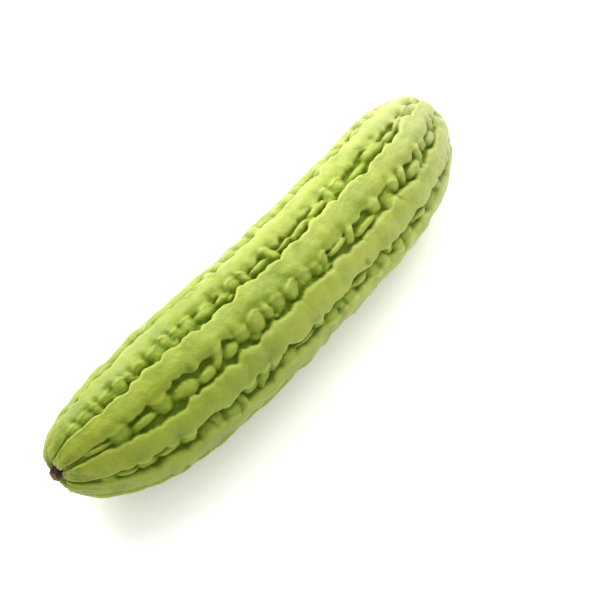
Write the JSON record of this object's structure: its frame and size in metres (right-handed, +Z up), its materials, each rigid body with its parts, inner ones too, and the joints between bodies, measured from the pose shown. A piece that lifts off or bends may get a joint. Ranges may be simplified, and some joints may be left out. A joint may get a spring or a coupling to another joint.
{
  "type": "bitter melon",
  "caption": "Whole pale green bitter melon, gently bent, with smooth long ridges and plump warts between them, lying on its side.",
  "frame": {"origin": "middle of the underside of the fruit's box, on the surface that the fruit lies on", "axes": "+X along the fruit from the stalk tip to the blossom tip, +Z up, +Y towards the hollow side of the bend"},
  "size_m": [0.2725, 0.069, 0.0653],
  "materials": {
    "melon_skin": "smooth waxy skin, pale yellow-green, paler on the ridges",
    "dried_stalk": "dry, dark brown, fibrous"
  },
  "bodies": {
    "root": {"fruit": "melon_skin", "stalk_stump": "dried_stalk"}
  },
  "joints": []
}
